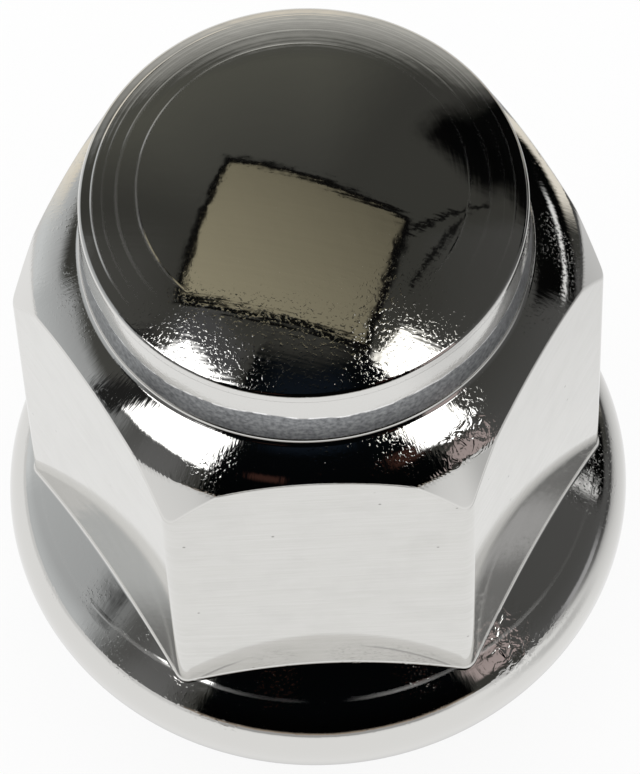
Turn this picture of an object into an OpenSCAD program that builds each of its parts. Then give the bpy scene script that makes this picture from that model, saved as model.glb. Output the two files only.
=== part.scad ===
// Closed-end wheel lug nut with a rolled flange and a conical seat.
// The nut stands on the flat ring at the end of its seat, with its crown up along +Z.

/* [Hexagon] */
// Width across the flats, which sets the socket size
across_flats = 19; // [17:0.5:20]
// Radius of the rounded upright corners
corner_round = 0.6; // [0.3:0.1:1.2]

/* [Height] */
// Height of the whole nut, from the flat ring of its seat to the top of the crown
overall_height = 32.5; // [30:0.5:40]

/* [Crown] */
// Diameter of the crown at its rim
rim_diameter = 16.2; // [14.5:0.1:17]
// Rise of the domed top above the rim
crown_rise = 2; // [0.8:0.1:3]
// Radius that breaks the rim
rim_round = 0.25; // [0.15:0.05:0.7]
// Height of the collar below the rim
collar_height = 3.15; // [2:0.05:4.5]
// Draft of the collar's wall
collar_draft = 2.2; // [0.5:0.1:5]

/* [Shoulder] */
// Radius of the turned shoulder that arches the top of each flat
shoulder_radius = 5.5; // [4.5:0.1:8]
// Slope of the shoulder where it leaves the collar
shoulder_slope = 24.7; // [18:0.1:32]
// Depth of the upright corners' upper ends below the foot of the collar
corner_drop = 3.57; // [2.8:0.01:4.5]
// Angle between the axis and the chamfer that ends the corners
chamfer_angle = 22; // [15:1:30]
// Radius of the fillet at the foot of the collar
collar_fillet = 0.15; // [0.1:0.05:0.5]

/* [Flange] */
// Largest diameter of the flange
flange_diameter = 24; // [23.5:0.1:27]
// Radius of the flange's rolled edge
flange_round = 2.6; // [1.8:0.1:3]
// Slope of the flange's upper face
flange_slope = 38; // [28:1:45]

/* [Seat] */
// Included angle of the conical seat
seat_angle = 60; // [55:1:75]
// Width of the flat ring between the seat and the mouth of the hole
land_width = 0.85; // [0.4:0.05:1.2]

/* [Thread] */
// Nominal diameter of the thread
thread_diameter = 12; // [10:0.5:12.5]
// Pitch of the thread
thread_pitch = 1.5; // [1:0.25:1.75]
// Depth of the full-diameter hole
hole_depth = 24; // [18:0.5:25]
// Included angle of the hole's drilled end
drill_angle = 118; // [110:1:140]
// Radial clearance of the mouth over the thread
mouth_clearance = 0.4; // [0.2:0.1:0.6]
// Included angle of the countersunk mouth
mouth_angle = 90; // [80:1:110]

/* [Hidden] */
$fn = 128;

// Depth by which straight outlines run into the arcs that they meet, so that no sliver is left
bite = 0.001;

// Hexagon
apothem = across_flats / 2;
corner_r = apothem / cos(30);
round_r = (apothem - corner_round) / cos(30);

// Heights of the rim and of the collar's foot
rim_z = overall_height - crown_rise;
foot_z = rim_z - collar_height;

// Collar radii at the rim and at the foot
rim_r = rim_diameter / 2;
foot_r = rim_r + collar_height * tan(collar_draft);

// Dome through the rim and the top, with its centre on the axis
dome_r = (rim_r * rim_r + crown_rise * crown_rise) / (2 * crown_rise);
dome_z = overall_height - dome_r;

// Centre of the rim's rounding, which touches the collar's wall and the dome from inside
rim_b = rim_r - rim_round / cos(collar_draft) + (rim_z - dome_z) * tan(collar_draft);
rim_k = tan(collar_draft);
rim_in = dome_r - rim_round + bite;
rim_up = (rim_b * rim_k + sqrt((1 + rim_k * rim_k) * rim_in * rim_in - rim_b * rim_b)) / (1 + rim_k * rim_k);
rim_c = [rim_b - rim_k * rim_up, dome_z + rim_up];
rim_wall = rim_c + (rim_round - bite) * [cos(collar_draft), sin(collar_draft)];
rim_dome = [0, dome_z] + (rim_c - [0, dome_z]) * dome_r / rim_in;

// Shoulder arc from the collar's foot, and the chamfer that meets it near the corners
shoulder_c = [foot_r, foot_z] - shoulder_radius * [sin(shoulder_slope), cos(shoulder_slope)];
shoulder_r = shoulder_c[0] + shoulder_radius - bite;
corner_z = foot_z - corner_drop;
chamfer_top = corner_r - (overall_height - corner_z) * tan(chamfer_angle);
chamfer_foot = corner_r + corner_z * tan(chamfer_angle);

// Centre of the fillet between the collar's wall and the shoulder
fil_arm = shoulder_radius + collar_fillet - bite;
fil_b = foot_r + (collar_fillet - bite) / cos(collar_draft) - shoulder_c[0] + (foot_z - shoulder_c[1]) * rim_k;
fil_up = (fil_b * rim_k + sqrt((1 + rim_k * rim_k) * fil_arm * fil_arm - fil_b * fil_b)) / (1 + rim_k * rim_k);
fil_c = shoulder_c + [fil_b - rim_k * fil_up, fil_up];
fil_wall = fil_c - (collar_fillet + bite) * [cos(collar_draft), sin(collar_draft)];
fil_arc = shoulder_c + (fil_c - shoulder_c) * (shoulder_radius - 2 * bite) / fil_arm;

// Thread hole and the flat ring round it
hole_r = (thread_diameter - thread_pitch) / 2;
mouth_r = thread_diameter / 2 + mouth_clearance;
land_r = mouth_r + land_width;
mouth_depth = (mouth_r - hole_r) / tan(mouth_angle / 2);
tip_z = hole_depth + hole_r / tan(drill_angle / 2);

// Rolled edge of the flange, which runs smoothly into the seat below and the slope above
seat_half = seat_angle / 2;
roll_r = flange_diameter / 2 - flange_round;
roll_z = (roll_r + flange_round * cos(seat_half) - land_r) / tan(seat_half) + flange_round * sin(seat_half);
roll_in = flange_round - bite;
roll_seat = [roll_r + roll_in * cos(seat_half), roll_z - roll_in * sin(seat_half)];
roll_top = [roll_r + roll_in * sin(flange_slope), roll_z + roll_in * cos(flange_slope)];
core_r = hole_r + (apothem - hole_r) / 2;
core_z = roll_top[1] + (roll_top[0] - core_r) * tan(flange_slope);

// Outline of the hexagon with rounded corners
module hexagon() {
    function dir(a) = [cos(a), sin(a)];
    polygon([
        for (k = [0 : 5], s = [-30, 30])
            round_r * dir(60 * k) + (corner_round - bite) * dir(60 * k + s)
    ]);
    for (k = [0 : 5])
        translate(round_r * dir(60 * k)) circle(r = corner_round);
}

// Half section of the seat and the flange
module flange_section() {
    polygon([
        [0, 0],
        [land_r, 0],
        roll_seat,
        [roll_r, roll_z],
        roll_top,
        [core_r, core_z],
        [0, core_z]
    ]);
    translate([roll_r, roll_z]) circle(r = flange_round);
}

// Half section of the shoulder, the collar and the crown
module crown_section() {
    // Shoulder and the straight part under it, with the chamfer that trims the corners
    intersection() {
        union() {
            translate(shoulder_c) circle(r = shoulder_radius);
            translate([0, roll_z]) square([shoulder_r, shoulder_c[1] - roll_z]);
        }
        polygon([
            [0, 0],
            [chamfer_foot, 0],
            [chamfer_top, overall_height],
            [0, overall_height]
        ]);
    }
    // Collar
    polygon([
        [0, roll_z],
        [foot_r - collar_fillet, roll_z],
        [foot_r - collar_fillet, foot_z - collar_fillet],
        [foot_r, foot_z],
        rim_wall,
        rim_c,
        rim_dome,
        [0, rim_dome[1]]
    ]);
    translate(rim_c) circle(r = rim_round);
    // Fillet at the foot of the collar
    difference() {
        polygon([
            fil_wall,
            [foot_r - collar_fillet, foot_z - collar_fillet],
            fil_arc,
            fil_c
        ]);
        translate(fil_c) circle(r = collar_fillet);
    }
    // Dome
    intersection() {
        translate([0, dome_z]) circle(r = dome_r, $fn = 400);
        translate([0, rim_dome[1]]) square([rim_r, overall_height]);
    }
}

// Half section of the threaded hole, countersunk at its mouth and drilled to a point
module hole_section() {
    polygon([
        [0, -1],
        [mouth_r + tan(mouth_angle / 2), -1],
        [hole_r, mouth_depth],
        [hole_r, hole_depth],
        [0, tip_z]
    ]);
}

// The nut, forged and turned as one piece
module lug_nut() {
    color([0.80, 0.81, 0.82])
    difference() {
        union() {
            rotate_extrude() flange_section();
            intersection() {
                translate([0, 0, roll_z]) linear_extrude(height = overall_height) hexagon();
                rotate_extrude() crown_section();
            }
        }
        rotate_extrude() hole_section();
    }
}

lug_nut();
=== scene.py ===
# %% [markdown]
# # A chrome lug nut, seen from above
# A lug nut holds a car's wheel on its stud. This one is closed: a crown hides the end of the stud.
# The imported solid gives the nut's true sizes. This lesson gives it the soft edges and the mirror finish
# of a plated forging, and builds a small studio round it, because chrome shows little but its surroundings.

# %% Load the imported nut
import math

import bpy
import numpy as np
from mathutils import Matrix


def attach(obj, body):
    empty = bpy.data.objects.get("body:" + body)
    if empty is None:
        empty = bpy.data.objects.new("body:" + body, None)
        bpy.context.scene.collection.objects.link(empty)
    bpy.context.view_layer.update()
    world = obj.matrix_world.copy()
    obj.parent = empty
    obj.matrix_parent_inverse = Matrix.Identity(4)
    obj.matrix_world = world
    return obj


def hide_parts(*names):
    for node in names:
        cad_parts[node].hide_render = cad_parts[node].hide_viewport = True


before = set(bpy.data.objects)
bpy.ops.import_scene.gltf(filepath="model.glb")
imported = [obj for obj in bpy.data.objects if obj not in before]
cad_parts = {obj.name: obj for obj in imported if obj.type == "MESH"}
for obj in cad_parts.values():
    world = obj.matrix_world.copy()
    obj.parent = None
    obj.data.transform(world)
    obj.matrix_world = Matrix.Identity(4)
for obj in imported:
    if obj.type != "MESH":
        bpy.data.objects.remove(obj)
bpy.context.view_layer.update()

# %% [markdown]
# ## Sizes
# The sizes are those of the solid, in millimetres: scene and solid share one frame, with the seat's flat
# ring on z = 0 and the crown up. They could be measured on the loaded mesh, but written out they read like
# a drawing, and the centres of the arcs follow from them by plain geometry.

# %% Sizes of the nut
MM = 0.001
# Hexagon
APOTHEM = 19 / 2
CORNER_ROUND = 0.6
# Crown and collar
TOP_Z = 32.5
RISE = 2.0
RIM_R = 16.2 / 2
COLLAR_H = 3.15
DRAFT = math.radians(2.2)
COLLAR_FILLET = 0.15
# Shoulder, and the chamfer that ends the corners
SHOULDER = 5.5
SHOULDER_SLOPE = math.radians(24.7)
CORNER_DROP = 3.57
CHAMFER = math.radians(22)
# Flange and seat
FLANGE_R = 24 / 2
ROLL = 2.6
SLOPE = math.radians(38)
SEAT = math.radians(60 / 2)
LAND_R = 7.25
# Hole and thread
MOUTH_R = 6.4
HOLE_R = 5.25
HOLE_DEPTH = 24.0
DRILL = math.radians(118 / 2)
PITCH = 1.5

rim_z = TOP_Z - RISE
foot_z = rim_z - COLLAR_H
foot_r = RIM_R + COLLAR_H * math.tan(DRAFT)
corner_r = APOTHEM / math.cos(math.pi / 6)
corner_z = foot_z - CORNER_DROP
dome_r = (RIM_R**2 + RISE**2) / (2 * RISE)
dome_z = TOP_Z - dome_r
shoulder_r = foot_r - SHOULDER * math.sin(SHOULDER_SLOPE)
shoulder_z = foot_z - SHOULDER * math.cos(SHOULDER_SLOPE)
roll_r = FLANGE_R - ROLL
roll_z = (roll_r + ROLL * math.cos(SEAT) - LAND_R) / math.tan(SEAT) + ROLL * math.sin(SEAT)
tip_z = HOLE_DEPTH + HOLE_R / math.tan(DRILL)
print(f"dome radius {dome_r:.2f}, shoulder centre {shoulder_r:.2f}, {shoulder_z:.2f}")
print(f"roll centre {roll_r:.2f}, {roll_z:.2f}, end of the hole {tip_z:.2f}")

# %% [markdown]
# ## The form as a distance
# A forged nut has no sharp edge: plating and polishing soften every one. A bevel modifier has trouble where
# the arched flats run out, so the form is written as a distance from the surface, negative inside. Two
# distances are joined by a rounded maximum for an outer edge and a rounded minimum for an inner corner.

# %% Rounded joins of two distances
def outer_edge(a, b, radius):
    """Larger of two distances; where both lie within radius of zero, the edge is a quarter circle."""
    both = np.hypot(np.maximum(a + radius, 0), np.maximum(b + radius, 0))
    return np.minimum(np.maximum(a, b), -radius) + both


def inner_corner(a, b, radius):
    """Smaller of two distances, with a quarter-circle fillet between them."""
    return -outer_edge(-a, -b, radius)


def hexagon(x, y):
    """Distance to the hexagon: that of the nearest flat, or of an arc where the two nearest flats meet."""
    facing = np.radians([30, 90, 150])
    off = np.abs(x[..., None] * np.cos(facing) + y[..., None] * np.sin(facing))
    nearest = np.sort(off, axis=-1) - APOTHEM + CORNER_ROUND
    first, second = nearest[..., 2], nearest[..., 1]
    on_arc = (first > second / 2) & (second > first / 2)
    # The flats turn 60 degrees, and 0.75 is the square of that angle's sine
    arc = np.sqrt(np.maximum((first**2 + second**2 - first * second) / 0.75, 0))
    return np.where(on_arc, arc, np.maximum(first, second)) - CORNER_ROUND


print("a sharp corner would stand out by", hexagon(np.array([corner_r]), np.zeros(1)).round(3), "mm")

# %% The whole outside as one distance
# Radii of the softened edges, as small as the mirror shows them
RIM_ROUND = 0.09
ARCH_EDGE = 0.045
CREASE = 0.03
FOOT_FILLET = 0.08
SEAT_EDGE = 0.06


def shoulder(r, z):
    """Distance to the turned shoulder: its arc, and the steeper chamfer that ends the corners."""
    arc = np.hypot(np.maximum(r - shoulder_r, 0), np.maximum(z - shoulder_z, 0)) - SHOULDER
    chamfer = (r - corner_r) * math.cos(CHAMFER) + (z - corner_z) * math.sin(CHAMFER)
    return outer_edge(arc, chamfer, CREASE)


def flange(r, z):
    """Distance to the flange: the roll's circle between its two tangents, the slope or the seat beyond."""
    aside, above = r - roll_r, z - roll_z
    slope = aside * math.sin(SLOPE) + above * math.cos(SLOPE)
    seat = aside * math.cos(SEAT) - above * math.sin(SEAT)
    past_slope = aside * math.cos(SLOPE) > above * math.sin(SLOPE)
    past_seat = aside * math.sin(SEAT) + above * math.cos(SEAT) > 0
    return np.where(past_slope & past_seat, np.hypot(aside, above), np.maximum(slope, seat)) - ROLL


def nut_outside(p):
    """Distance to the nut: the hexagon cut by the shoulder, joined to the crown and to the flange."""
    x, y, z = p[..., 0], p[..., 1], p[..., 2]
    r = np.hypot(x, y)
    body = outer_edge(np.maximum(hexagon(x, y), roll_z - z), shoulder(r, z), ARCH_EDGE)
    wall = (r - RIM_R - (rim_z - z) * math.tan(DRAFT)) * math.cos(DRAFT)
    dome = np.hypot(r, z - dome_z) - dome_r
    crown = np.maximum(outer_edge(wall, dome, RIM_ROUND), roll_z - z)
    top = inner_corner(body, crown, COLLAR_FILLET)
    return outer_edge(inner_corner(top, flange(r, z), FOOT_FILLET), -z, SEAT_EDGE)


print("distance at the top", nut_outside(np.array([[0.0, 0.0, TOP_Z]])))

# %% [markdown]
# ## Lines that the faces follow
# The arch at the top of a flat and the line at its foot are the sharpest lines of the nut. Faces that cross
# them at random would leave a ragged edge in the mirror, so rows of faces follow both lines. For each angle
# round the axis, halving finds how far out the hexagon lies, and how high the shoulder and the flange meet
# it.

# %% Angles, and where the flats begin and end
# Angles in a sixth of a turn, and how strongly a sine gathers them at the corners
SECTOR = 58
CORNER_GATHER = 0.7
# Times that a span is halved, and a reach in millimetres that ends outside the nut
HALVINGS = 40
FAR = 20
u = np.arange(SECTOR) / SECTOR
within = u - CORNER_GATHER * np.sin(2 * np.pi * u) / (2 * np.pi)
angle = (np.radians(60) * (np.arange(6)[:, None] + within)).ravel()
spoke = np.stack([np.cos(angle), np.sin(angle)], -1)


def halve(distance, near, far):
    """Reach at which a distance turns from inside to outside, found by halving the span again and again."""
    for step in range(HALVINGS):
        middle = (near + far) / 2
        inside = distance(middle) < 0
        near, far = np.where(inside, middle, near), np.where(inside, far, middle)
    return (near + far) / 2


level = np.ones(len(angle))
flat_r = halve(lambda r: hexagon(r * spoke[:, 0], r * spoke[:, 1]), 0 * level, FAR * level)
arch_z = halve(lambda z: shoulder(flat_r, z), shoulder_z * level, foot_z * level)
foot_line_z = halve(lambda z: flange(flat_r, z), roll_z * level, shoulder_z * level)
print(f"flats run from {foot_line_z.max():.2f} to {arch_z.max():.2f} at the middle")
print(f"and from {foot_line_z.min():.2f} to {arch_z.min():.2f} at the corners")

# %% [markdown]
# ## Rays from inside
# The skin is a grid of two parameters: the angle round the axis and a row down the section. A remesh could
# turn the distance into faces too, but they would not follow the lines found above. Here each row is a ray
# from inside the nut, and the skin lies where the ray's distance is zero. Rows gather at those lines and
# where the section bends. Two groups of rows that meet at a softened edge share the ray to it, so that no
# face folds back.

# %% Rays between two rays
ROW_GATHER = 0.8


def ray_to(start, point):
    """A ray for every angle from a start to a point of the section: the start and the ray's tilt."""
    (r0, z0), (r1, z1) = start, point
    tilt = np.degrees(np.arctan2((z1 - z0) * level, (r1 - r0) * level))
    return np.stack([r0 * level, z0 * level, tilt], -1)


def rows(first, last, count, gather=(0, 1)):
    """Rays between two rays, without the last; a sine gathers them at the ends that gather names, 0 or 1."""
    low, high = (0 if 0 in gather else 0.5), (1 if 1 in gather else 0.5)
    u = np.linspace(low, high, count, endpoint=False)
    u = (u - ROW_GATHER * np.sin(2 * np.pi * u) / (2 * np.pi) - low) / (high - low)
    return first * (1 - u[:, None, None]) + last * u[:, None, None]


print("tilt of a ray that climbs 1 mm in 1 mm", ray_to((0, 0), (1, 1))[0, 2])

# %% Rows of rays down the section
# How far the rows of a rounded place reach beyond it: in millimetres, and in radians along the shoulder
RIM_BAND, FILLET_BAND, SEAT_BAND, LAND_BAND = 0.35, 0.2, 0.5, 0.3
FILLET_TURN = 0.04
# Places on the section where one group of rows ends and the next begins: radius and height
dome_top = (0.4, TOP_Z)
dome_end = (RIM_R - RIM_BAND, dome_z + math.sqrt(dome_r**2 - (RIM_R - RIM_BAND) ** 2))
wall_top = (RIM_R + RIM_BAND * math.tan(DRAFT), rim_z - RIM_BAND)
wall_foot = (foot_r - FILLET_BAND * math.tan(DRAFT), foot_z + FILLET_BAND)
shoulder_top = (shoulder_r + SHOULDER * math.sin(SHOULDER_SLOPE + FILLET_TURN),
                shoulder_z + SHOULDER * math.cos(SHOULDER_SLOPE + FILLET_TURN))
arch, foot_line = (flat_r, arch_z), (flat_r, foot_line_z)
roll_low = (roll_r + ROLL * math.cos(SEAT), roll_z - ROLL * math.sin(SEAT))
seat_low = (LAND_R + SEAT_BAND * math.tan(SEAT), SEAT_BAND)
land_in = (MOUTH_R + LAND_BAND, 0)
# Places inside the nut from which the rays start
INNER_R = 4.5
dome_c, shoulder_c = (0, dome_z), (shoulder_r, shoulder_z)
rim_c, fillet_c = (RIM_R - 0.6, rim_z - 0.4), (RIM_R - 0.9, foot_z - 0.75)
wall_top_c, wall_foot_c = (INNER_R, wall_top[1]), (INNER_R, wall_foot[1])
flange_c, seat_c, land_c = (INNER_R, roll_z + 0.3), (5.5, 1.8), (6.6, 0.9)
ROWS = (
    ("dome", rows(ray_to(dome_c, dome_top), ray_to(dome_c, dome_end), 36, (1,))),
    ("dome", rows(ray_to(rim_c, dome_end), ray_to(rim_c, wall_top), 12)),
    ("collar", rows(ray_to(wall_top_c, wall_top), ray_to(wall_foot_c, wall_foot), 8)),
    ("shoulder", rows(ray_to(fillet_c, wall_foot), ray_to(fillet_c, shoulder_top), 14)),
    ("shoulder", rows(ray_to(shoulder_c, shoulder_top), ray_to(shoulder_c, arch), 46)),
    ("flats", rows(ray_to(shoulder_c, arch), ray_to(flange_c, foot_line), 28)),
    ("flange", rows(ray_to(flange_c, foot_line), ray_to(flange_c, roll_low), 46, (0,))),
    ("seat", rows(ray_to(flange_c, roll_low), ray_to(seat_c, seat_low), 7)),
    ("seat", rows(ray_to(land_c, seat_low), ray_to(land_c, land_in), 9)),
)
section = np.concatenate([group for name, group in ROWS])
row_zone = np.concatenate([[name] * len(group) for name, group in ROWS])
print("rows down the section", len(section))

# %% The skin by halving, and its normals
def along(reach):
    """Points at that reach along every ray, turned round the axis to their angle."""
    tilt = np.radians(section[..., 2])
    r = section[..., 0] + reach * np.cos(tilt)
    z = section[..., 1] + reach * np.sin(tilt)
    return np.concatenate([r[..., None] * spoke, z[..., None]], -1)


start = np.zeros(section.shape[:2])
skin = along(halve(lambda reach: nut_outside(along(reach)), start, start + FAR))
# A normal points the way in which the distance grows fastest
tiny = 1e-4 * np.eye(3)
growth = np.stack([nut_outside(skin + d) - nut_outside(skin - d) for d in tiny], -1)
skin_normal = growth / np.linalg.norm(growth, axis=-1, keepdims=True)
print("skin", skin.shape, "worst distance", float(np.abs(nut_outside(skin)).max()))

# %% [markdown]
# ## The hole and its thread
# The stud's thread is cut in a blind hole that was drilled first, so it has a countersunk mouth and a drill
# point. A Screw modifier could sweep the thread, but its ends would have to be joined to the hole. So the
# wall is a grid of angle and height whose radius is the drill's, plus the depth of a V groove that climbs
# one pitch a turn. The groove fades out before the end, as a tap leaves it.

# %% Wall of the hole
GROOVE = 0.75
FLANK = math.tan(math.pi / 6)
RUN_OUT = 1.5
WALL_ROWS, CONE_ROWS = 230, 5
hole_spoke, hole_angle = spoke[::3], angle[::3]
hole_z = np.linspace(0, HOLE_DEPTH, WALL_ROWS)[:, None]
# Place across the groove, as a share of the pitch, from the middle of the groove
across = (hole_z / PITCH - hole_angle / (2 * np.pi) + 0.5) % 1 - 0.5
# The groove's bottom is an eighth of a pitch wide, and its flanks lean 30 degrees
half_width = PITCH / 16 + GROOVE * FLANK
depth = np.clip((half_width - np.abs(across) * PITCH) / FLANK, 0, GROOVE)
depth = depth * np.clip((HOLE_DEPTH - RUN_OUT - hole_z) / RUN_OUT, 0, 1)
wall_r = np.maximum(MOUTH_R - hole_z, HOLE_R + depth)
wall_z = np.broadcast_to(hole_z[..., None], (*wall_r.shape, 1))
wall = np.concatenate([wall_r[..., None] * hole_spoke, wall_z], -1)
u = np.linspace(0, 1, CONE_ROWS + 2)[1:-1, None, None]
cone_z = np.broadcast_to(HOLE_DEPTH + (tip_z - HOLE_DEPTH) * u, (CONE_ROWS, len(hole_spoke), 1))
cone = np.concatenate([HOLE_R * (1 - u) * hole_spoke, cone_z], -1)
bore = np.concatenate([wall, cone])
print("hole rows and angles", bore.shape[:2])

# %% [markdown]
# ## One closed mesh
# The skin runs from the top of the crown to the flat ring, and the hole's wall from there to the drill
# point. Two meshes could be joined and merged, but counting the vertices closes one mesh from the start. The
# hole needs a third of the angles, so each face of the ring takes three outer steps and one inner step.
# Every vertex of the skin keeps the exact normal, or the mirror would show the faces.

# %% Faces and mesh
def grid_faces(first, row_count, column_count):
    """Quads of a grid that closes on itself round the axis."""
    i = np.arange(row_count - 1)[:, None] * column_count + first
    j = np.arange(column_count)
    k = (j + 1) % column_count
    below = i + column_count
    return np.stack([i + j, below + j, below + k, i + k], -1).reshape(-1, 4)


outer_n, inner_n = len(angle), len(hole_angle)
bore_first = skin.shape[0] * outer_n
points = np.concatenate([skin.reshape(-1, 3), bore.reshape(-1, 3), [[0, 0, TOP_Z], [0, 0, tip_z]]]) * MM
top_point, tip_point = len(points) - 2, len(points) - 1
outer_j, inner_j = np.arange(outer_n), np.arange(inner_n)
inner_next = (inner_j + 1) % inner_n
crown_fan = np.stack([np.full(outer_n, top_point), outer_j, (outer_j + 1) % outer_n], -1)
edge = bore_first - outer_n + 3 * inner_j
next_edge = bore_first - outer_n + (3 * inner_j + 3) % outer_n
land = np.stack([edge, bore_first + inner_j, bore_first + inner_next, next_edge, edge + 2, edge + 1], -1)
last_row = bore_first + (bore.shape[0] - 1) * inner_n
tip_fan = np.stack([last_row + inner_j, np.full(inner_n, tip_point), last_row + inner_next], -1)
outside = [crown_fan, grid_faces(0, skin.shape[0], outer_n), land]
within_hole = [grid_faces(bore_first, bore.shape[0], inner_n), tip_fan]
faces = [face for group in outside + within_hole for face in group.tolist()]
mesh = bpy.data.meshes.new("lug_nut_skin")
mesh.from_pydata(points.tolist(), [], faces)
mesh.shade_smooth()
print("faces", len(mesh.polygons), "triangles", sum(len(face) - 2 for face in faces))

# %% Normals, and which faces are in the hole
normals = np.zeros_like(points)
normals[:bore_first] = skin_normal.reshape(-1, 3)
normals[top_point] = (0, 0, 1)
# A normal of zero leaves the hole's own smooth normals as they are
mesh.normals_split_custom_set_from_vertices(normals)
in_hole = np.zeros(len(faces), dtype=np.int32)
in_hole[sum(len(group) for group in outside):] = 1
mesh.polygons.foreach_set("material_index", in_hole)
lug_nut = bpy.data.objects.new("lug_nut_skin", mesh)
bpy.context.scene.collection.objects.link(lug_nut)
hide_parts("lug_nut")
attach(lug_nut, "root")
print("validate had to change the mesh:", mesh.validate(), "faces in the hole:", int(in_hole.sum()))

# %% [markdown]
# ## Zones of the surface
# The crown was turned and buffed, the collar only turned, the shoulder and flange polished on a wheel, the
# flats left as forged and the seat turned last. Six materials could tell them apart, but one finish keeps in
# one place what they share. So each vertex carries a share of each zone, and a place on the turned surface:
# millimetres round the axis and down the section.

# %% Zone shares as attributes
ZONES = ("dome", "collar", "shoulder", "flats", "flange", "seat")
zone_share = np.zeros((len(ZONES), len(points)), dtype=np.float32)
zone_share[:, :bore_first] = (np.array(ZONES)[:, None] == row_zone).repeat(outer_n, axis=1)
zone_share[ZONES.index("dome"), top_point] = 1
# The chamfer on the corners was ground, so where the surface is steep it has none of the shoulder's marks
STEEP, STEEP_FADE = 0.52, 0.15
zone_share[ZONES.index("shoulder")] *= np.clip((normals[:, 2] - STEEP) / STEEP_FADE, 0, 1)
for name, values in zip(ZONES, zone_share):
    mesh.attributes.new(name, "FLOAT", "POINT").data.foreach_set("value", values)
# Radius in millimetres at which a place round the axis is measured
AROUND_R = 10
down = np.concatenate([np.zeros((1, outer_n)), np.linalg.norm(np.diff(skin, axis=0), axis=-1).cumsum(0)])
around = np.broadcast_to(AROUND_R * spoke, (*down.shape, 2))
turned = np.zeros((len(points), 3), dtype=np.float32)
turned[:bore_first] = np.concatenate([around, down[..., None]], -1).reshape(-1, 3)
mesh.attributes.new("turned", "FLOAT_VECTOR", "POINT").data.foreach_set("vector", turned.ravel())
print("vertices in each zone", dict(zip(ZONES, zone_share.sum(1).astype(int).tolist())))

# %% [markdown]
# ## Helpers for finishes
# A finish is a small tree of shader nodes. One function adds a node, gives it its settings and links its
# inputs. Colours are written as on a screen and turned linear here, because shaders work in linear light.

# %% Colour and node helpers
def linear(hex_colour):
    """Screen colour as linear light: each channel through the sRGB curve."""
    c = np.array([int(hex_colour[i:i + 2], 16) for i in (1, 3, 5)]) / 255
    return (*np.where(c <= 0.04045, c / 12.92, ((c + 0.055) / 1.055) ** 2.4).tolist(), 1.0)


def add(tree, kind, inputs=None, **settings):
    """A node of that kind with its settings; an input that is a socket is linked, any other is set."""
    node = tree.nodes.new(kind)
    for name, value in settings.items():
        setattr(node, name, value)
    for key, value in (inputs or {}).items():
        socket = node.inputs[key]
        if isinstance(value, bpy.types.NodeSocket):
            tree.links.new(value, socket)
        else:
            socket.default_value = value
    return node


def finish(name):
    """An empty material with its tree and its output."""
    material = bpy.data.materials.new(name)
    material.use_nodes = True
    material.node_tree.nodes.clear()
    return material, material.node_tree, add(material.node_tree, "ShaderNodeOutputMaterial")


print("screen grey #808080 as linear light", round(linear("#808080")[0], 3))

# %% [markdown]
# ## Bright chrome plate
# Bright chrome over nickel on polished steel: a near-perfect mirror, a shade under white and a little warm.
# The polish leaves waves of a millimetre or two that make reflections wobble. Buffing leaves straight lines
# on the crown, the wheel leaves short ones down the shoulder, turning leaves rings, and the plate sparkles.
# Roughness alone would blur every reflection alike, so the patterns are heights, which bend it instead. They
# are in millimetres, so one bump node with a distance of a millimetre shows them all.

# %% Waves, lines and marks of the polish
# Real polishing lines are a few hundredths of a millimetre wide: these are drawn coarser, so that they show
chrome, t, out = finish("bright_chrome_plate")
zone = {name: add(t, "ShaderNodeAttribute", attribute_name=name).outputs["Fac"] for name in ZONES}
place = add(t, "ShaderNodeTexCoord").outputs["Object"]
PER_MM = (1 / MM, 1 / MM, 1 / MM)
place_mm = add(t, "ShaderNodeVectorMath", {0: place, 1: PER_MM}, operation="MULTIPLY").outputs[0]
axes = add(t, "ShaderNodeSeparateXYZ", {0: place_mm}).outputs
x_mm, y_mm, z_mm = axes["X"], axes["Y"], axes["Z"]
turned_mm = add(t, "ShaderNodeAttribute", attribute_name="turned").outputs["Vector"]
# Waves of the polish, 2.2 mm long with finer ones on them
WAVE = {"Scale": 1 / 2.2, "Detail": 3.0, "Roughness": 0.45}
wave = add(t, "ShaderNodeTexNoise", {"Vector": place_mm, **WAVE}).outputs["Fac"]
# Buffing lines 5 mm long and 0.2 mm apart, turned a little from X
BUFF_TURN, BUFF = math.radians(16), (1 / 5, 1 / 0.2, 0)
buffing = add(t, "ShaderNodeMapping", {"Vector": place_mm, "Rotation": (0, 0, BUFF_TURN)}).outputs[0]
buffing = add(t, "ShaderNodeVectorMath", {0: buffing, 1: BUFF}, operation="MULTIPLY").outputs[0]
buffed = add(t, "ShaderNodeTexNoise", {"Vector": buffing, "Scale": 1.0, "Detail": 1.0}).outputs["Fac"]
# Wheel marks down the section: 0.13 mm wide, 0.6 mm long
MARK = (1 / 0.13, 1 / 0.13, 1 / 0.6)
marks = add(t, "ShaderNodeVectorMath", {0: turned_mm, 1: MARK}, operation="MULTIPLY").outputs[0]
wheel = add(t, "ShaderNodeTexNoise", {"Vector": marks, "Scale": 1.0, "Detail": 2.0}).outputs["Fac"]
# Level streaks of the flats: 2.5 mm long, 0.1 mm high
STREAK = (1 / 2.5, 1 / 2.5, 1 / 0.1)
streaks = add(t, "ShaderNodeVectorMath", {0: place_mm, 1: STREAK}, operation="MULTIPLY").outputs[0]
streak = add(t, "ShaderNodeTexNoise", {"Vector": streaks, "Scale": 1.0, "Detail": 3.0}).outputs["Fac"]
# Ripples 0.5 mm long
RIPPLE = {"Scale": 1 / 0.5, "Detail": 1.0}
ripple = add(t, "ShaderNodeTexNoise", {"Vector": place_mm, **RIPPLE}).outputs["Fac"]
print("nodes for the polish", len(t.nodes))

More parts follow.
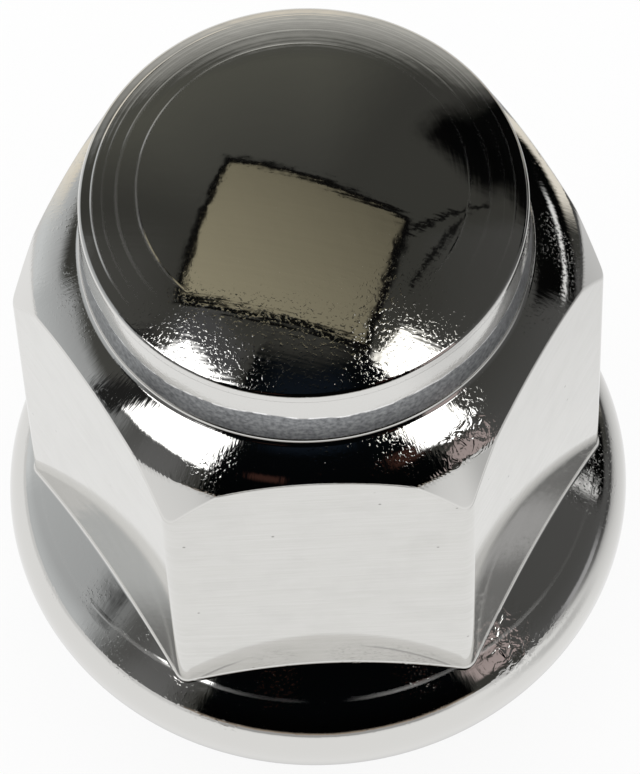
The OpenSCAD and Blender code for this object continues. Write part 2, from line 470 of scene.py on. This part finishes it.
# %% Sparkle of the plate
# Grain 0.12 mm wide, whose peaks gather in patches of 2 mm
GRAIN, PATCH = {"Scale": 1 / 0.12, "Detail": 2.0}, {"Scale": 1 / 2.0, "Detail": 1.0}
grain = add(t, "ShaderNodeTexNoise", {"Vector": place_mm, **GRAIN}).outputs["Fac"]
PEAKS, PATCHED = {"From Min": 0.56, "From Max": 0.8}, {"From Min": 0.45, "From Max": 0.7}
peaks = add(t, "ShaderNodeMapRange", {"Value": grain, **PEAKS}).outputs[0]
patch = add(t, "ShaderNodeTexNoise", {"Vector": place_mm, **PATCH}).outputs["Fac"]
patch = add(t, "ShaderNodeMapRange", {"Value": patch, **PATCHED}).outputs[0]
sparkle = add(t, "ShaderNodeMath", {0: peaks, 1: patch}, operation="MULTIPLY").outputs[0]
print("grain a millimetre", round(GRAIN["Scale"], 1))

# %% Wrinkles in the plate
# The plate wrinkled in two places on the right, on the shoulder and on the flange: folds of 0.45 mm
WRINKLED = ((5.85, -7.9, 26.2), (7.0, -8.4, 11.0))
FOLD = {"Scale": 1 / 0.45, "Detail": 2.0, "Distortion": 1.0}
# Millimetres from the middle of a place at which its folds begin to fade and are gone
FADE = {"From Min": 0.5, "From Max": 1.7, "To Min": 1.0, "To Max": 0.0}
fold = add(t, "ShaderNodeTexNoise", {"Vector": place_mm, **FOLD}).outputs["Fac"]
wrinkle = 0.0
for spot in WRINKLED:
    off = add(t, "ShaderNodeVectorMath", {0: place_mm, 1: spot}, operation="DISTANCE").outputs["Value"]
    near = add(t, "ShaderNodeMapRange", {"Value": off, **FADE}).outputs[0]
    folded = {0: fold, 1: near, 2: wrinkle}
    wrinkle = add(t, "ShaderNodeMath", folded, operation="MULTIPLY_ADD").outputs[0]
print("wrinkled places", len(WRINKLED))

# %% Rings of the lathe
# Rings are peaks of a ramp that reads the radius; the ramp is 14 mm long
RAMP = 14.0
# Radius, half width and height of each ring
RINGS = ((5.97, 0.05, 0.9), (6.7, 0.05, 0.6), (7.2, 0.04, 0.3), (7.6, 0.05, 0.8), (10.7, 0.06, 1.0))
flat_place = add(t, "ShaderNodeVectorMath", {0: place_mm, 1: (1, 1, 0)}, operation="MULTIPLY").outputs[0]
radius = add(t, "ShaderNodeVectorMath", {0: flat_place}, operation="LENGTH").outputs["Value"]
radius_share = add(t, "ShaderNodeMath", {0: radius, 1: 1 / RAMP}, operation="MULTIPLY").outputs[0]
rings = add(t, "ShaderNodeValToRGB", {"Fac": radius_share})
for end in rings.color_ramp.elements:
    end.color = (0, 0, 0, 1)
for ring_r, half, peak in RINGS:
    for offset, grey in ((-half, 0), (0, peak), (half, 0)):
        rings.color_ramp.elements.new((ring_r + offset) / RAMP).color = (grey, grey, grey, 1)
print("rings", len(RINGS))

# %% Where the rings show
# Rings show only in places: patches of 5 mm, on the crown's left and on the flange's front
WORN = {"Scale": 1 / 5.0, "Detail": 1.0}
worn = add(t, "ShaderNodeTexNoise", {"Vector": place_mm, **WORN}).outputs["Fac"]
worn = add(t, "ShaderNodeMapRange", {"Value": worn, "From Min": 0.25, "From Max": 0.5}).outputs[0]
ring_patch = {0: rings.outputs["Color"], 1: worn}
ring_patch = add(t, "ShaderNodeMath", ring_patch, operation="MULTIPLY").outputs[0]
# Millimetres between which each ramp climbs; a From Min above its From Max climbs to the left or the front
LEFTWARD = {"Value": x_mm, "From Min": 2.0, "From Max": -3.0, "To Min": 0.15}
INNER = {"Value": y_mm, "From Min": -4.2, "From Max": -2.2}
FORWARD = {"Value": y_mm, "From Min": -6.0, "From Max": -9.0, "To Min": 0.1}
off_middle = add(t, "ShaderNodeMath", {0: x_mm}, operation="ABSOLUTE").outputs[0]
OFF_MIDDLE = {"Value": off_middle, "From Min": 0.6, "From Max": 2.6}
ring_left = ring_front = ring_patch
for ramp in (LEFTWARD, INNER):
    shown = add(t, "ShaderNodeMapRange", ramp).outputs[0]
    ring_left = add(t, "ShaderNodeMath", {0: ring_left, 1: shown}, operation="MULTIPLY").outputs[0]
for ramp in (FORWARD, OFF_MIDDLE):
    shown = add(t, "ShaderNodeMapRange", ramp).outputs[0]
    ring_front = add(t, "ShaderNodeMath", {0: ring_front, 1: shown}, operation="MULTIPLY").outputs[0]
print("nodes so far", len(t.nodes))

# %% Fine turned lines
# Lines 0.15 mm apart, towards the crown's edge and its back
FINE = {"W": radius, "Scale": 1 / 0.15, "Detail": 1.0}
EDGEWARD = {"Value": radius, "From Min": 4.5, "From Max": 6.5}
BACKWARD = {"Value": y_mm, "From Min": -2.0, "From Max": 3.0, "To Min": 0.1}
fine = add(t, "ShaderNodeTexNoise", FINE, noise_dimensions="1D").outputs["Fac"]
for ramp in (EDGEWARD, BACKWARD):
    shown = add(t, "ShaderNodeMapRange", ramp).outputs[0]
    fine = add(t, "ShaderNodeMath", {0: fine, 1: shown}, operation="MULTIPLY").outputs[0]
# Lines of the seat, 0.18 mm apart down the cone
TURNING = {"W": z_mm, "Scale": 1 / 0.18, "Detail": 2.0}
turning = add(t, "ShaderNodeTexNoise", TURNING, noise_dimensions="1D").outputs["Fac"]
print("fine lines a millimetre", round(FINE["Scale"], 1), "on the seat", round(TURNING["Scale"], 1))

# %% Heights of the patterns
# Buffing shows on the front half of the crown, and specks of the plate on the foremost part
FRONT = {"Value": y_mm, "From Min": 1.0, "From Max": -4.0, "To Min": 0.1}
FOREMOST = {"Value": y_mm, "From Min": -3.2, "From Max": -5.4, "To Min": 0.1}
front = add(t, "ShaderNodeMapRange", FRONT).outputs[0]
foremost = add(t, "ShaderNodeMapRange", FOREMOST).outputs[0]
buffed_front = add(t, "ShaderNodeMath", {0: buffed, 1: front}, operation="MULTIPLY").outputs[0]
sparkle_front = add(t, "ShaderNodeMath", {0: peaks, 1: foremost}, operation="MULTIPLY").outputs[0]
HEIGHTS = (
    (wave, "dome", 0.02),
    (wave, "shoulder", 0.014),
    (wave, "flange", 0.012),
    (ripple, "dome", 0.002),
    (buffed_front, "dome", 0.003),
    (sparkle_front, "dome", 0.0034),
    (sparkle, "shoulder", 0.007),
    (sparkle, "flange", 0.005),
    (wheel, "shoulder", 0.003),
    (wheel, "flange", 0.0015),
    (wrinkle, "shoulder", 0.04),
    (wrinkle, "flange", 0.05),
    (grain, "collar", 0.002),
    (streak, "flats", 0.0006),
    (ring_left, "dome", 0.013),
    (ring_front, "flange", 0.008),
    (fine, "dome", 0.0025),
    (turning, "seat", 0.004),
)
relief = 0.0
for pattern, name, height in HEIGHTS:
    shown = add(t, "ShaderNodeMath", {0: pattern, 1: zone[name]}, operation="MULTIPLY").outputs[0]
    relief = add(t, "ShaderNodeMath", {0: shown, 1: height, 2: relief}, operation="MULTIPLY_ADD").outputs[0]
bump = add(t, "ShaderNodeBump", {"Height": relief, "Strength": 1.0, "Distance": MM}).outputs["Normal"]
print("heights", len(HEIGHTS))

# %% [markdown]
# ## Duller places
# The collar and the flats were polished less. Their fine scratches scatter some light every way, which the
# shader gives as a small share of dull surface. The seat has the fine rings of its last cut, and is duller
# for them. A polishing wheel does not reach into a corner, so below a wavy line the collar stays dull grey.
# At the edge of the polish a thin bright line is a painted highlight in the base colour; it could be cut
# into the form as a ridge that catches the light. A height bent by noise tells the shader where both run.

# %% Dull foot of the collar, and a painted highlight line
LINE_Z = 29.0
# Half widths of the dull foot's edge and of the painted highlight line
LINE_HALF, HIGHLIGHT_HALF = 0.04, 0.05
BEND = 1.0
# Bends 3.5 mm long; the noise is a half on average, so in bent height the line lies half the bend higher
BENDS = {"Scale": 1 / 3.5, "Detail": 2.0}
line_z = LINE_Z + BEND / 2
bend = add(t, "ShaderNodeTexNoise", {"Vector": place_mm, **BENDS}).outputs["Fac"]
bent_z = add(t, "ShaderNodeMath", {0: bend, 1: BEND, 2: z_mm}, operation="MULTIPLY_ADD").outputs[0]
BELOW = {"Value": bent_z, "From Min": line_z + LINE_HALF, "From Max": line_z - LINE_HALF}
dull_foot = add(t, "ShaderNodeMapRange", BELOW).outputs[0]
dull_foot = add(t, "ShaderNodeMath", {0: dull_foot, 1: zone["collar"]}, operation="MULTIPLY").outputs[0]
# The painted highlight line is broken where the ripples are low
on_highlight_line = add(t, "ShaderNodeMath", {0: bent_z, 1: line_z, 2: HIGHLIGHT_HALF}, operation="COMPARE").outputs[0]
broken = add(t, "ShaderNodeMapRange", {"Value": ripple, "From Min": 0.38, "From Max": 0.52}).outputs[0]
broken = add(t, "ShaderNodeMath", {0: broken, 1: zone["collar"]}, operation="MULTIPLY").outputs[0]
painted_highlight_edge = add(t, "ShaderNodeMath", {0: on_highlight_line, 1: broken}, operation="MULTIPLY").outputs[0]
print("dull below", LINE_Z)

# %% Haze and roughness
# A ring's scratch scatters light too
scratched = {}
for name, scratch in (("flange", ring_front), ("dome", ring_left)):
    kept = {0: scratch, 1: zone[name]}
    scratched[name] = add(t, "ShaderNodeMath", kept, operation="MULTIPLY").outputs[0]
# Share of metal: a full mirror, less in the places that scatter
HAZE = ((zone["flats"], -0.22), (zone["collar"], -0.15), (dull_foot, -0.15), (zone["seat"], -0.1),
        (scratched["flange"], -0.4), (scratched["dome"], -0.15))
metal = 1.0
for where, change in HAZE:
    metal = add(t, "ShaderNodeMath", {0: where, 1: change, 2: metal}, operation="MULTIPLY_ADD").outputs[0]
# Roughness: a fine polish, rougher in the dull places
ROUGHER = ((zone["collar"], 0.03), (dull_foot, 0.2), (zone["seat"], 0.1))
rough = 0.045
for where, change in ROUGHER:
    rough = add(t, "ShaderNodeMath", {0: where, 1: change, 2: rough}, operation="MULTIPLY_ADD").outputs[0]
print("places that scatter", len(HAZE), "and rougher ones", len(ROUGHER))

# %% Streaks, blotches and mottle
# Streaks, and blotches of 1.4 mm, on the flats
WORKED = {"Value": streak, "From Min": 0.3, "From Max": 0.7}
worked = add(t, "ShaderNodeMapRange", WORKED).outputs[0]
worked = add(t, "ShaderNodeMath", {0: worked, 1: zone["flats"]}, operation="MULTIPLY").outputs[0]
BLOTCH = {"Scale": 1 / 1.4, "Detail": 3.0}
BLOTCHED = {"From Min": 0.45, "From Max": 0.75, "To Max": 0.2}
blotch = add(t, "ShaderNodeTexNoise", {"Vector": place_mm, **BLOTCH}).outputs["Fac"]
blotch = add(t, "ShaderNodeMapRange", {"Value": blotch, **BLOTCHED}).outputs[0]
blotch = add(t, "ShaderNodeMath", {0: blotch, 1: zone["flats"]}, operation="MULTIPLY").outputs[0]
# Mottle 0.16 mm wide on the dull foot of the collar
MOTTLE = {"Scale": 1 / 0.16, "Detail": 3.0}
GREYS = {"A": linear("#6C6E71"), "B": linear("#A6A8AA")}
mottle = add(t, "ShaderNodeTexNoise", {"Vector": place_mm, **MOTTLE}).outputs["Fac"]
mottle = add(t, "ShaderNodeMapRange", {"Value": mottle, "From Min": 0.3, "From Max": 0.7}).outputs[0]
mottle = add(t, "ShaderNodeMix", {"Factor": mottle, **GREYS}, data_type="RGBA").outputs["Result"]
print("nodes so far", len(t.nodes))

# %% Specks on the flats
# Specks 0.1 mm across, in half of those cells 1 mm wide whose middle lies on the surface
CELL = {"Scale": 1 / 1.0}
CHOSEN = 0.5
NEAR = {"From Min": 0.03, "From Max": 0.07, "To Min": 0.7, "To Max": 0.0}
cells = add(t, "ShaderNodeTexVoronoi", {"Vector": place_mm, **CELL}).outputs
chosen = add(t, "ShaderNodeSeparateColor", {0: cells["Color"]}).outputs[0]
chosen = add(t, "ShaderNodeMath", {0: chosen, 1: CHOSEN}, operation="LESS_THAN").outputs[0]
speck = add(t, "ShaderNodeMapRange", {"Value": cells["Distance"], **NEAR}).outputs[0]
for kept in (chosen, zone["flats"]):
    speck = add(t, "ShaderNodeMath", {0: speck, 1: kept}, operation="MULTIPLY").outputs[0]
print("share of cells with a speck", CHOSEN)

# %% Tone and shader
# Each layer is laid over the tone of the clean plate by its share
LAYERS = (
    (worked, linear("#D7D6D2")),
    (blotch, linear("#C2C1BD")),
    (dull_foot, mottle),
    # The thin bright line at the polish edge is a painted highlight
    (painted_highlight_edge, linear("#FAFAFA")),
    (speck, linear("#6B6964")),
)
tone = linear("#DDDCD9")
for layer, colour in LAYERS:
    laid = {"Factor": layer, "A": tone, "B": colour}
    tone = add(t, "ShaderNodeMix", laid, data_type="RGBA").outputs["Result"]
LOOK = {"Base Color": tone, "Metallic": metal, "Roughness": rough, "Normal": bump}
shader = add(t, "ShaderNodeBsdfPrincipled", LOOK)
t.links.new(shader.outputs["BSDF"], out.inputs["Surface"])
mesh.materials.append(chrome)
print("chrome nodes", len(t.nodes))

# %% [markdown]
# ## Cut thread
# Plating hardly reaches into a blind hole, so the thread stays dull grey steel with a trace of oil. It could
# be one more zone of the plate, but a finish of its own on the hole's faces keeps the polish out of it.

# %% Thread finish
thread, t, out = finish("dull_cut_steel_thread")
place = add(t, "ShaderNodeTexCoord").outputs["Object"]
# Tool marks 0.4 mm wide
TOOL_MARKS = {"Scale": 1 / (0.4 * MM), "Detail": 2.0}
STEEL = {"A": linear("#9A9894"), "B": linear("#7C7A76")}
tool_marks = add(t, "ShaderNodeTexNoise", {"Vector": place, **TOOL_MARKS}).outputs["Fac"]
steel = add(t, "ShaderNodeMix", {"Factor": tool_marks, **STEEL}, data_type="RGBA").outputs["Result"]
oil = add(t, "ShaderNodeMapRange", {"Value": tool_marks, "To Min": 0.28, "To Max": 0.5}).outputs[0]
CUT = {"Base Color": steel, "Metallic": 1.0, "Roughness": oil}
shader = add(t, "ShaderNodeBsdfPrincipled", CUT)
t.links.new(shader.outputs["BSDF"], out.inputs["Surface"])
mesh.materials.append(thread)
print("finishes", [m.name for m in mesh.materials])

# %% [markdown]
# ## Floor and sky
# The nut stands on white paper under an even white sky. Brighter lamps could whiten the paper, but they
# would change the nut too. So the paper glows a little where the camera or a mirror looks at it, and the
# rest of its tone is lit, so that it keeps a shadow. From below the paper is clear, so that the seat and the
# hole can be looked at. It lies a hair under the nut, because two faces in one plane would flicker.

# %% Floor and sky
def stand(name, flat, material):
    """A stage object of that mesh and finish."""
    flat.materials.append(material)
    made = bpy.data.objects.new(name, flat)
    bpy.context.scene.collection.objects.link(made)
    return made


GLOW = 0.87
WHITE = (1, 1, 1, 1)
paper, t, out = finish("white_paper")
seen = add(t, "ShaderNodeLightPath").outputs
direct = seen["Is Glossy Ray"]
for ray in ("Is Transmission Ray", "Is Camera Ray"):
    direct = add(t, "ShaderNodeMath", {0: direct, 1: seen[ray]}, operation="MAXIMUM").outputs[0]
glowing = add(t, "ShaderNodeMath", {0: direct, 1: GLOW}, operation="MULTIPLY").outputs[0]
lit = add(t, "ShaderNodeBsdfDiffuse", {"Color": linear("#FEFEFE")}).outputs[0]
glow = add(t, "ShaderNodeEmission", {"Color": WHITE, "Strength": 1.0}).outputs[0]
sheet = add(t, "ShaderNodeMixShader", {0: glowing, 1: lit, 2: glow}).outputs[0]
under = add(t, "ShaderNodeNewGeometry").outputs["Backfacing"]
clear = add(t, "ShaderNodeBsdfTransparent").outputs[0]
sheet = add(t, "ShaderNodeMixShader", {0: under, 1: sheet, 2: clear}).outputs[0]
t.links.new(sheet, out.inputs["Surface"])
FLOOR_HALF = 2.0
FLOOR_Z = -0.02 * MM
floor = bpy.data.meshes.new("floor")
corners = [(x * FLOOR_HALF, y * FLOOR_HALF, FLOOR_Z) for x, y in ((-1, -1), (1, -1), (1, 1), (-1, 1))]
floor.from_pydata(corners, [], [(0, 1, 2, 3)])
stand("floor", floor, paper)

world = bpy.data.worlds.new("white_sky")
bpy.context.scene.world = world
world.use_nodes = True
sky = world.node_tree.nodes["Background"].inputs
sky["Color"].default_value = WHITE
sky["Strength"].default_value = 1.0
print("floor and sky made")

# %% [markdown]
# ## The tent
# Chrome takes its tones from the room, so a tent of cloth stands round the nut that only mirrors see. Lamps
# could make the lights, but not the black cloth and the soft edges between them. Two bright softboxes hang
# high at the front, black cloth hangs between them where the camera looks in, pale cloth at the left, dark
# cloth at the right and the back, and a dim panel overhead. The tent is one sphere, a grid of turn and rise
# in degrees, and its colours are cards laid over each other with soft edges.

# %% Soft cards
# Height of the tent's centre, and its radius
CENTRE_Z = 16
TENT_R = 170
FOOT = -math.degrees(math.asin(CENTRE_Z / TENT_R))
TURN_N, RISE_N = 721, 193
turn, rise = np.meshgrid(np.linspace(-180, 180, TURN_N), np.linspace(FOOT, 90, RISE_N))


def step_up(value, middle, width):
    """Share that climbs smoothly from 0 to 1 over that width about a middle."""
    s = np.clip((value - middle) / width + 0.5, 0, 1)
    return s * s * (3 - 2 * s)


def card(turn0, turn1, rise0, rise1, soft0, soft1, soft_rise):
    """Share of a card between two turns and two rises in degrees: the product of four soft steps."""
    middle, half = (turn0 + turn1) / 2, (turn1 - turn0) / 2
    aside = (turn - middle + 180) % 360 - 180
    across = step_up(aside, -half, soft0) * (1 - step_up(aside, half, soft1))
    return across * step_up(rise, rise0, soft_rise) * (1 - step_up(rise, rise1, soft_rise))


def dye(hex_colour):
    """Linear light of a screen colour, as an array of its three channels."""
    return np.array(linear(hex_colour)[:3])


def lay(below, cloth, share):
    """Colours with a cloth laid over them: its share of the cloth, and the rest of what lies below."""
    return below * (1 - share[..., None]) + cloth * share[..., None]


print(f"tent from {FOOT:.1f} degrees up, grid {turn.shape}")

# %% Cards of the tent
# Turns run from the front to the right and rises from the horizon up. Each card has its name, turns and
# rises, the softness of its left, its right and its ends, its colours at foot and head, and its strength.
CARDS = (
    ("room", -200, 200, -20, 120, 1, 1, 1, "#3E3E3B", "#3C3C38", 1.0),
    ("back cloth", 166, 224, 24, 66, 24, 26, 10, "#585851", "#40403D", 1.0),
    ("back cloth, low", 146, 232, 6, 24, 20, 16, 6, "#DAD9D4", "#5A5A56", 1.0),
    ("left cloth, high", -116, -72, 30, 56, 20, 8, 14, "#4E4E4B", "#464643", 1.0),
    ("left cloth, back", -142, -108, -20, 22, 10, 8, 10, "#DEE1E3", "#AAACAD", 1.0),
    ("left cloth", -114, -70, -20, 34, 8, 18, 12, "#C8CBCD", "#A2A4A5", 1.0),
    ("left black", -84, -72, 24, 54, 6, 4, 6, "#242424", "#242424", 1.0),
    ("left glow", -80, -42, 58, 70, 10, 12, 6, "#545458", "#464644", 1.0),
    ("back paper", 126, 226, -20, 9, 10, 14, 6, "#F8F2E6", "#EDE4D4", 1.0),
    ("right cloth", 58, 114, -20, 62, 4, 8, 8, "#585858", "#40403D", 1.0),
    ("right cloth, low", 72, 93, -20, 1.5, 12, 12, 4, "#A8A8AA", "#A8A8AA", 1.0),
    ("right black", 103, 146, 4, 36, 6, 8, 5, "#040404", "#080808", 1.0),
    ("right black, high", 124, 148, 32, 43, 8, 8, 5, "#040404", "#080808", 1.0),
    ("right slit", 104, 130, 12.5, 15.5, 4, 6, 2, "#F4F4F4", "#F4F4F4", 1.0),
    ("left front", -64, -43, -20, 36, 20, 12, 4, "#6C6C6C", "#646464", 1.0),
    ("right front", 43, 58, 10, 33, 4, 3, 6, "#B2A4A2", "#AA9C9A", 1.0),
    ("front black", -37, 41, -20, 72, 3, 3, 10, "#020202", "#06080A", 1.0),
    ("front foot", -40, 40, -20, -3, 6, 6, 4, "#A89A8C", "#A89A8C", 1.0),
    ("navy cloth", -24, 18, 60, 69, 16, 16, 8, "#10161E", "#12161C", 1.0),
    ("left stand", -24, -12, 38, 42, 5, 5, 3, "#38241F", "#38241F", 1.0),
    ("right stand", 27, 39, 38, 47, 5, 3, 4, "#38241F", "#38241F", 1.0),
    ("left softbox", -72, -38, 34, 60.5, 4, 2, 2, "#FFFFFF", "#FFFFFF", 2.6),
    ("right softbox", 40, 62, 41, 66.5, 2, 6, 3, "#FFFFFF", "#FFFDF6", 2.6),
)
colours = np.zeros((*turn.shape, 3))
for name, turn0, turn1, rise0, rise1, soft0, soft1, soft_rise, foot, head, strength in CARDS:
    # A card that hangs below the horizon keeps its foot's colour there
    low, high = max(rise0, 0), min(rise1, 90)
    climb = np.clip((rise - low) / (high - low + 1e-6), 0, 1)[..., None]
    cloth = dye(foot) * (1 - climb) + dye(head) * climb
    colours = lay(colours, cloth * strength, card(turn0, turn1, rise0, rise1, soft0, soft1, soft_rise))
print("cards", [row[0] for row in CARDS])

# %% Panel overhead
# Corners on a level plane one unit above the nut, in order round the panel: right and back are positive
PANEL = np.array([(-0.307, 0.638), (-0.535, 0.022), (0.222, -0.256), (0.392, 0.291)])
GAP_WIDTH, GAP_SOFT, PANEL_SOFT = 0.045, 0.02, 0.015
# The panel is brighter towards its left and its front
TO_LEFT, TO_FRONT = 0.8, 0.6
LEAST_CLIMB = 1e-3
steepness = np.maximum(np.tan(np.radians(rise)), LEAST_CLIMB)
over = np.stack([np.sin(np.radians(turn)) / steepness, -np.cos(np.radians(turn)) / steepness], -1)
sides = np.roll(PANEL, -1, 0) - PANEL
inward = np.stack([-sides[:, 1], sides[:, 0]], -1) / np.linalg.norm(sides, axis=1, keepdims=True)
into = np.min(np.einsum("...i,ki->...k", over, inward) - np.einsum("ki,ki->k", PANEL, inward), -1)
colours = lay(colours, dye("#0A0A0A"), step_up(into, -GAP_WIDTH, GAP_SOFT))
bright = np.clip(1 - TO_LEFT * over[..., :1] - TO_FRONT * over[..., 1:], 0.5, 1.6)
panel = step_up(into, 0.0, PANEL_SOFT)
colours = lay(colours, dye("#857F6B") * bright, panel)
print("share of the tent that is panel", round(float(panel.mean()), 4))

# %% Cords of the panel
# Ends of two cords on the same plane
CORDS = (((0.40, 0.23), (0.92, 0.55)), ((0.43, 0.0), (0.72, 0.37)))
CORD_HALF = 0.012
for first, last in np.array(CORDS):
    span = last - first
    part = np.clip((over - first) @ span / (span @ span), 0, 1)[..., None]
    off = np.linalg.norm(over - first - part * span, axis=-1)
    colours = lay(colours, dye("#0A0A0A"), 1 - step_up(off, CORD_HALF, CORD_HALF))
print("cords", len(CORDS))

# %% The tent, seen by mirrors only
def cloth_grid(name, place, shade):
    """A stage object from a grid of places in mm, glowing with a grid of colours that only mirrors see."""
    row_n, column_n = shade.shape[:2]
    i = (np.arange(row_n - 1)[:, None] * column_n + np.arange(column_n - 1)).ravel()
    quads = np.stack([i, i + column_n, i + column_n + 1, i + 1], -1)
    made = bpy.data.meshes.new(name)
    made.from_pydata((place * MM).reshape(-1, 3).tolist(), [], quads.tolist())
    rgba = np.concatenate([shade, np.ones((row_n, column_n, 1))], -1).astype(np.float32)
    made.attributes.new("cloth", "FLOAT_COLOR", "POINT").data.foreach_set("color", rgba.ravel())
    hung = stand(name, made, tent_cloth)
    hung.visible_camera = hung.visible_diffuse = hung.visible_shadow = hung.visible_transmission = False
    print(name, "faces", len(quads))


# The cloth glows in its own colours, and isn't sampled as a lamp
tent_cloth, t, out = finish("tent_cloth")
tent_cloth.cycles.emission_sampling = "NONE"
dyed = add(t, "ShaderNodeAttribute", attribute_name="cloth").outputs["Color"]
glow = add(t, "ShaderNodeEmission", {"Color": dyed, "Strength": 1.0}).outputs[0]
t.links.new(glow, out.inputs["Surface"])
turn_rad, rise_rad = np.radians(turn), np.radians(rise)
level_out = np.cos(rise_rad) * TENT_R
ball_z = np.sin(rise_rad) * TENT_R + CENTRE_Z
ball = np.stack([level_out * np.sin(turn_rad), -level_out * np.cos(turn_rad), ball_z], -1)
cloth_grid("tent", ball, colours)

# %% [markdown]
# ## Painted shade on the paper
# The paper round the nut has painted shade, darker towards the tent, most of all at the front under the
# black cloth and at the right, away from the pale cloth, and a painted shadow under the seat. Real lamps
# would shade the floor by themselves, but the camera would then see it grey as well. So a flat ring just
# above the floor gives only mirrors that painted fall-off, as a grid of turn and distance.

# %% Ring of shaded paper
RING_IN = 7.5
RING_OUT = math.sqrt(TENT_R**2 - CENTRE_Z**2)
RING_Z = 0.2
RING_TURN_N, RING_ROW_N = 181, 160
# Tone of the paper by the nut, the shares it loses to painted shade, and its painted tone where it takes
# another
PAPER = 0.93
FAR_SHADE, SEAT_SHADOW, RIGHT_SHADE, COLLAR_SHADE = 0.2, 0.45, 0.9, 0.28
AHEAD_SHADOW_TONE, EAR_SHADE_TONE = 0.4, 0.56
bearing, reach = np.meshgrid(np.linspace(-180, 180, RING_TURN_N), np.linspace(RING_IN, RING_OUT, RING_ROW_N))
# Painted shade far out, and a painted shadow under the seat
painted_seat_shadow = 1 - step_up(reach, 10.5, 9)
painted_paper_shade = PAPER * (1 - FAR_SHADE * step_up(reach, 72, 30)) * (1 - SEAT_SHADOW * painted_seat_shadow)
# Painted shadow ahead, under the black cloth, and painted shade ever darker to the right
painted_shadow_ahead = (1 - step_up(np.abs(bearing), 34, 14)) * step_up(reach, 80, 12)
painted_paper_shade = painted_paper_shade * (1 - painted_shadow_ahead) + AHEAD_SHADOW_TONE * painted_shadow_ahead
painted_shade_right = step_up(bearing, 75, 50) * (1 - step_up(bearing, 150, 30))
painted_paper_shade = painted_paper_shade * (1 - painted_shade_right * np.clip((reach - 13.5) / 70, 0, RIGHT_SHADE))
# Painted shade where the right of the collar looks, and a painted grey where the right ear of the front flat
# looks
painted_shade_collar_sees = step_up(bearing, 48, 28) * (1 - step_up(bearing, 76, 16))
painted_shade_collar_sees = painted_shade_collar_sees * step_up(reach, 25.5, 7) * (1 - step_up(reach, 38, 10))
painted_paper_shade = painted_paper_shade * (1 - COLLAR_SHADE * painted_shade_collar_sees)
painted_shade_ear_sees = step_up(bearing, 47, 10) * (1 - step_up(bearing, 66, 10)) * step_up(reach, 57, 12)
painted_paper_shade = painted_paper_shade * (1 - painted_shade_ear_sees) + EAR_SHADE_TONE * painted_shade_ear_sees
bearing_rad = np.radians(bearing)
ring_z = np.full_like(reach, RING_Z)
lying = np.stack([np.sin(bearing_rad) * reach, -np.cos(bearing_rad) * reach, ring_z], -1)
cloth_grid("painted_shade_paper", lying, np.repeat(painted_paper_shade[..., None], 3, -1))

# %% [markdown]
# ## Camera
# The photograph looks down on the nut from about 61 degrees with a long lens, and leans a little. A camera
# set by eye would show the flats too long or too short, so its place comes from fitting the hexagon's edges
# and the round rims to the picture.

# %% Camera
ELEVATION, TURN, LEAN = (math.radians(v) for v in (61.35, 0.21, -2.83))
DISTANCE, SIDE, LIFT, AIM_Z = 226.76, 0.278, -0.322, 17.11
# The focal length of the fit is in pixels of a picture 774 pixels high, which is its longer side
FOCAL_PX, PICTURE_PX = 6003.5, 774
SENSOR = 36
level_back = math.cos(ELEVATION)
back = np.array([math.sin(TURN) * level_back, -math.cos(TURN) * level_back, math.sin(ELEVATION)])
level_right = np.array([math.cos(TURN), math.sin(TURN), 0])
plumb_up = np.cross(back, level_right)
right = math.cos(LEAN) * level_right + math.sin(LEAN) * plumb_up
up = -math.sin(LEAN) * level_right + math.cos(LEAN) * plumb_up
eye = (np.array([0, 0, AIM_Z]) + back * DISTANCE + right * SIDE + up * LIFT) * MM
lens = bpy.data.cameras.new("camera")
lens.sensor_fit = "AUTO"
lens.sensor_width = SENSOR
lens.lens = SENSOR * FOCAL_PX / PICTURE_PX
lens.clip_start = 0.01
camera = bpy.data.objects.new("camera", lens)
pose = np.eye(4)
pose[:3] = np.stack([right, up, back, eye], -1)
camera.matrix_world = Matrix(pose.tolist())
bpy.context.scene.collection.objects.link(camera)
bpy.context.scene.camera = camera
bpy.context.scene.view_settings.view_transform = "Standard"
print("camera at mm", [round(v * 1000, 1) for v in eye])
